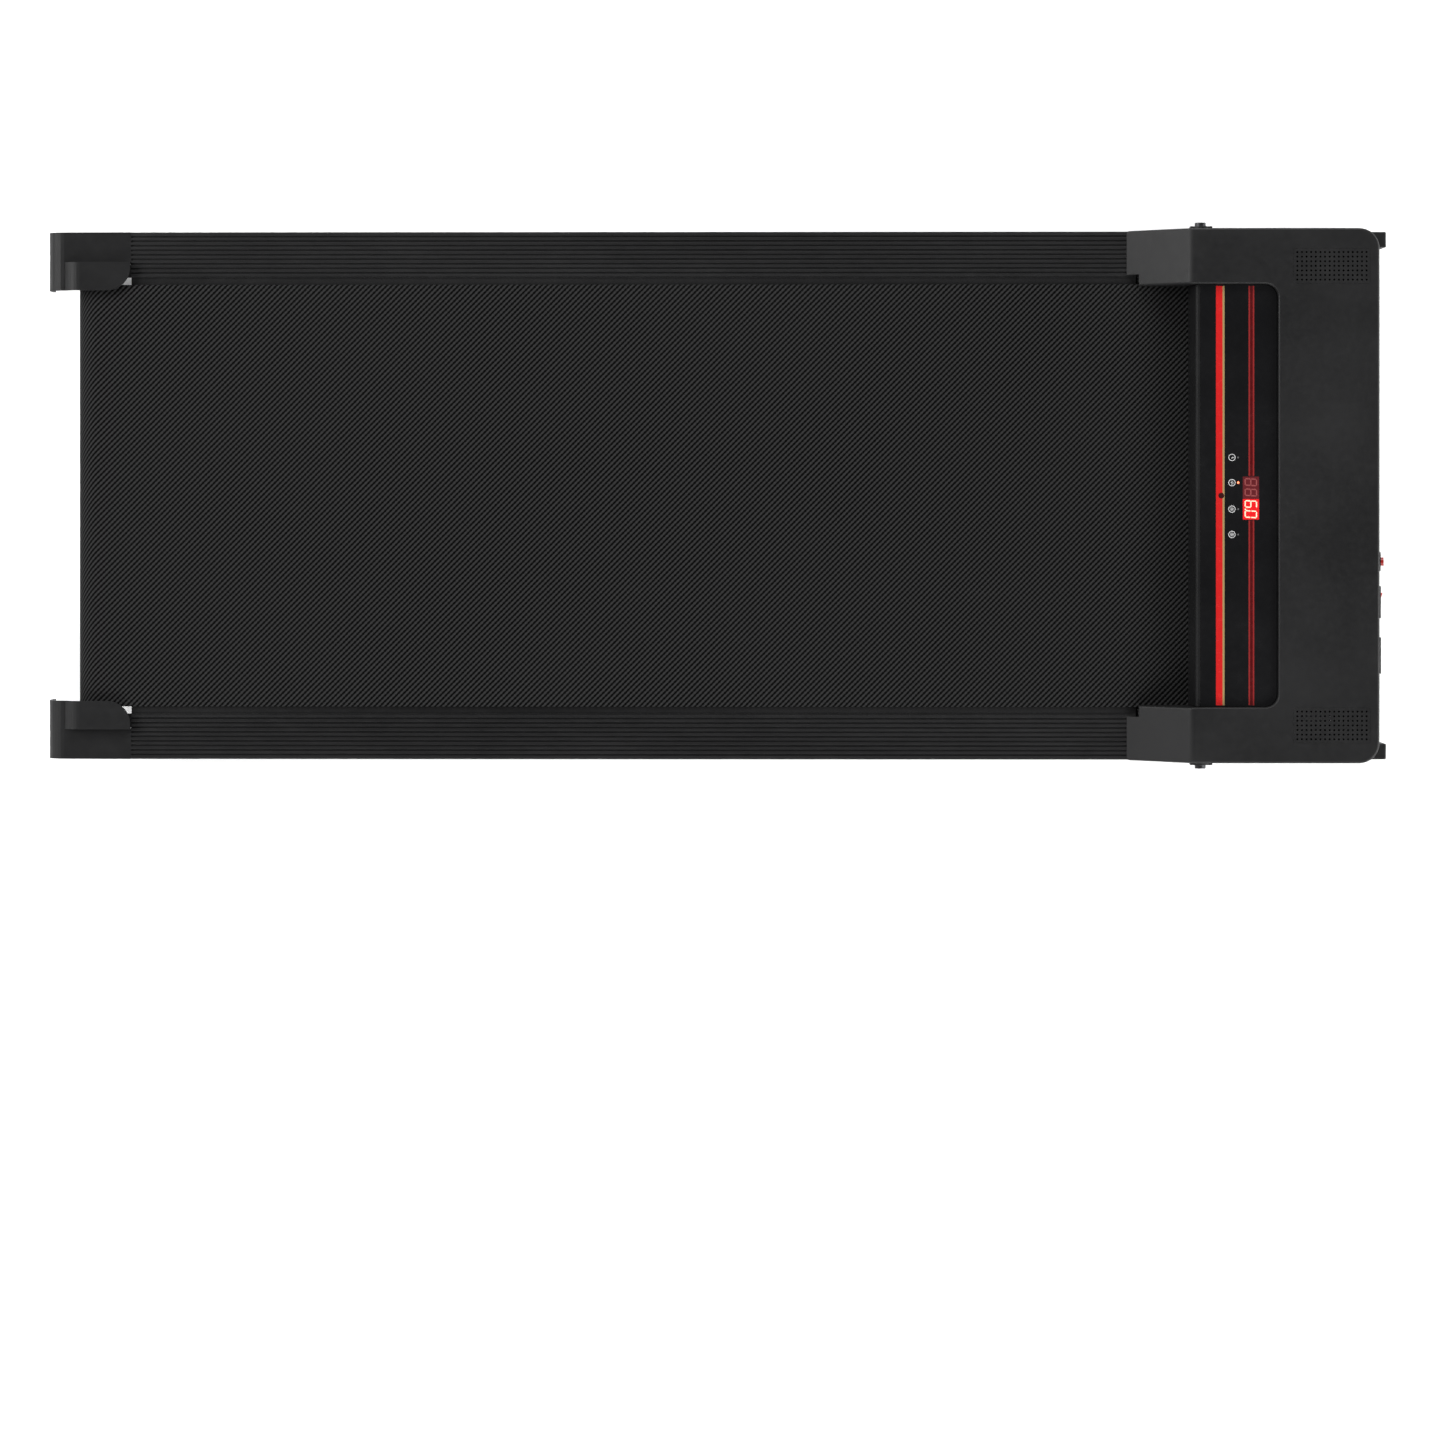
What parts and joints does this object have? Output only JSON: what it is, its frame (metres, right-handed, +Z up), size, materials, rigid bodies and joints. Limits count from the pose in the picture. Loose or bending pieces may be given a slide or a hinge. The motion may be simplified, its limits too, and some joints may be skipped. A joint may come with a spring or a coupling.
{
  "type": "treadmill",
  "caption": "Slim under-desk walking treadmill with a low motor hood, lit speed panel, ribbed foot rails, rubber feet and small transport wheels.",
  "frame": {"origin": "on the floor, at the centre of the footprint's bounding box", "axes": "+X towards the motor hood, +Y to the left of a person walking towards the hood, +Z up"},
  "size_m": [1.2702, 0.518, 0.1254],
  "materials": {
    "black_steel": "satin powder coat",
    "grey_steel": "zinc plated",
    "dark_steel": "satin",
    "hood_plastic": "fine grained",
    "cap_plastic": "fine grained",
    "rail_plastic": "ribbed",
    "pan_plastic": "grained",
    "panel_gloss": "gloss",
    "tray_gloss": "gloss",
    "belt_rubber": "woven texture",
    "foot_rubber": "matte",
    "wheel_tread": "smooth",
    "board_wood": "waxed",
    "red_light": "lit",
    "deep_red": "lit",
    "receiver_red": "gloss",
    "circuit": "lacquered",
    "socket_plastic": "moulded",
    "rocker_red": "moulded",
    "dark_bolt": "satin",
    "pin_brass": "plated",
    "case_steel": "satin",
    "rotor_iron": "wound",
    "pulley_alloy": "cast",
    "drive_rubber": "ribbed"
  },
  "bodies": {
    "frame": {"left_side_tube": "black_steel", "right_side_tube": "black_steel", "front_cross_tube": "black_steel", "deck_crossbars": "dark_steel", "tube_plugs": "cap_plastic", "deck_board": "board_wood", "deck_cushions": "foot_rubber", "running_belt": "belt_rubber", "left_foot_rail": "rail_plastic", "right_foot_rail": "rail_plastic", "left_end_cap": "cap_plastic", "right_end_cap": "cap_plastic", "rear_axle_brackets": "dark_steel", "rear_axle": "grey_steel", "front_axle": "grey_steel", "front_axle_blocks": "dark_steel", "rear_foot_bar": "black_steel", "left_rear_foot": "foot_rubber", "right_rear_foot": "foot_rubber", "left_middle_foot": "foot_rubber", "right_middle_foot": "foot_rubber", "left_wheel_bracket": "black_steel", "right_wheel_bracket": "black_steel", "left_wheel_bolt": "dark_bolt", "right_wheel_bolt": "dark_bolt", "motor_hood": "hood_plastic", "left_vent_grille": "hood_plastic", "right_vent_grille": "hood_plastic", "control_tray": "tray_gloss", "panel_lens": "panel_gloss", "light_bar": "red_light", "light_lines": "deep_red", "speed_display": "deep_red", "display_board": "circuit", "remote_receiver": "receiver_red", "hood_clips": "hood_plastic", "hood_bolts": "dark_bolt", "belly_pan": "pan_plastic", "pan_screws": "dark_bolt", "power_inlet": "socket_plastic", "inlet_pins": "pin_brass", "switch_frame": "socket_plastic", "breaker_body": "socket_plastic", "motor_case": "case_steel", "motor_cradle": "dark_steel", "drive_belt": "drive_rubber", "controller_board": "circuit"},
    "front_roller": {"front_roller": "grey_steel", "front_roller_pulley": "pulley_alloy", "front_roller_bearings": "grey_steel"},
    "rear_roller": {"rear_roller": "grey_steel", "rear_roller_bearings": "grey_steel"},
    "motor_rotor": {"motor_rotor": "rotor_iron", "motor_pulley": "pulley_alloy"},
    "left_wheel": {"left_wheel": "wheel_tread"},
    "right_wheel": {"right_wheel": "wheel_tread"},
    "switch_rocker": {"switch_rocker": "rocker_red"},
    "breaker_button": {"breaker_button": "rocker_red"},
    "left_adjuster_bolt": {"left_adjuster_bolt": "dark_bolt"},
    "right_adjuster_bolt": {"right_adjuster_bolt": "dark_bolt"}
  },
  "joints": [
    {"name": "front_roller_spin", "type": "hinge", "parent": "frame", "child": "front_roller", "pos_m": [0.46987, 0, 0.06068], "axis": [0, 1, 0], "continuous": true},
    {"name": "rear_roller_spin", "type": "hinge", "parent": "frame", "child": "rear_roller", "pos_m": [-0.58805, 0, 0.04812], "axis": [0, 1, 0], "continuous": true},
    {"name": "motor_spin", "type": "hinge", "parent": "frame", "child": "motor_rotor", "pos_m": [0.56183, -0.115, 0.06467], "axis": [0, 1, 0], "continuous": true},
    {"name": "left_wheel_spin", "type": "hinge", "parent": "frame", "child": "left_wheel", "pos_m": [0.61186, 0.237, 0.0202], "axis": [0, 1, 0], "continuous": true},
    {"name": "right_wheel_spin", "type": "hinge", "parent": "frame", "child": "right_wheel", "pos_m": [0.61186, -0.237, 0.0202], "axis": [0, 1, 0], "continuous": true},
    {"name": "power_rocker", "type": "hinge", "parent": "frame", "child": "switch_rocker", "pos_m": [0.62013, -0.1, 0.10009], "axis": [-0.1013, 0, 0.9949], "range_deg": [0, 16]},
    {"name": "breaker_press", "type": "slide", "parent": "frame", "child": "breaker_button", "axis": [-0.9949, 0, -0.1013], "range_m": [0, 0.0025], "stiffness_N_per_m": 400, "springref_m": -0.0005},
    {"name": "left_tension_screw", "type": "hinge", "parent": "frame", "child": "left_adjuster_bolt", "pos_m": [-0.60006, 0.226, 0.04798], "axis": [0.9999, 0, 0.0119], "continuous": true},
    {"name": "right_tension_screw", "type": "hinge", "parent": "frame", "child": "right_adjuster_bolt", "pos_m": [-0.60006, -0.226, 0.04798], "axis": [0.9999, 0, 0.0119], "continuous": true}
  ],
  "couplings": [
    {"joint": "rear_roller_spin", "follows": "front_roller_spin", "ratio": 1},
    {"joint": "motor_spin", "follows": "front_roller_spin", "ratio": 2.5}
  ]
}
